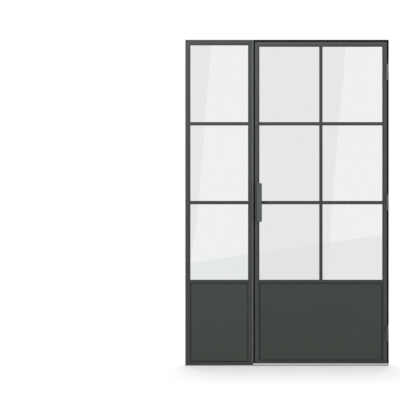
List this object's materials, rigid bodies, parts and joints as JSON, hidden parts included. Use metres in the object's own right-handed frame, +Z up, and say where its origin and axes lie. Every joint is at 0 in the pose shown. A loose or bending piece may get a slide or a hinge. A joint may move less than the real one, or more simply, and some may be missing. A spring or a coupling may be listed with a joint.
{
  "type": "steel glass door with fixed sidelight",
  "caption": "Dark steel framed glass door leaf on barrel hinges with a pull handle, beside a fixed sidelight; both with glazing bars, panes and a solid lower panel.",
  "frame": {"origin": "floor level on the sidelight's left outer face, at mid depth of the fixed frame", "axes": "+X to the hinge side as seen from the side the leaf opens to, +Y to the back, +Z up"},
  "size_m": [1.312, 0.12, 2.1],
  "materials": {
    "steel": "satin powder coat, dark green-grey",
    "strike_lip": "satin powder coat, dark green-grey",
    "seal": "matte black",
    "block": "black plastic",
    "threshold": "brushed stainless steel",
    "pin": "plain steel",
    "glass": "clear float glass"
  },
  "bodies": {
    "frame": {"side_left_stile": "steel", "side_top_rail": "steel", "side_right_stile": "steel", "side_bottom_rail": "steel", "side_upper_muntin": "steel", "side_lower_muntin": "steel", "side_mid_rail": "steel", "side_top_glass": "glass", "side_middle_glass": "glass", "side_bottom_glass": "glass", "side_panel": "steel", "side_glazing_beads": "steel", "side_glazing_seals": "seal", "side_setting_blocks": "block", "strike_bar": "strike_lip", "strike_stop": "steel", "head_frame": "steel", "hinge_jamb": "steel", "frame_edge_seal": "seal", "stop_seal": "seal", "threshold": "threshold", "hinge_lower_knuckles": "steel", "hinge_pins": "pin", "hinge_washers": "pin"},
    "leaf": {"leaf_lock_stile": "steel", "leaf_hinge_stile": "steel", "leaf_top_rail": "steel", "leaf_bottom_rail": "steel", "leaf_mid_rail": "steel", "leaf_upright_muntin": "steel", "leaf_upper_muntins": "steel", "leaf_lower_muntins": "steel", "leaf_top_left_glass": "glass", "leaf_top_right_glass": "glass", "leaf_middle_left_glass": "glass", "leaf_middle_right_glass": "glass", "leaf_bottom_left_glass": "glass", "leaf_bottom_right_glass": "glass", "leaf_panel": "steel", "leaf_glazing_beads": "steel", "leaf_glazing_seals": "seal", "leaf_setting_blocks": "block", "front_pull_handle": "steel", "back_pull_handle": "steel", "hinge_upper_knuckles": "steel"}
  },
  "joints": [
    {"name": "leaf_hinge", "type": "hinge", "parent": "frame", "child": "leaf", "pos_m": [1.3035, -0.033, 0], "axis": [0, 0, 1], "range_deg": [0, 170]}
  ]
}
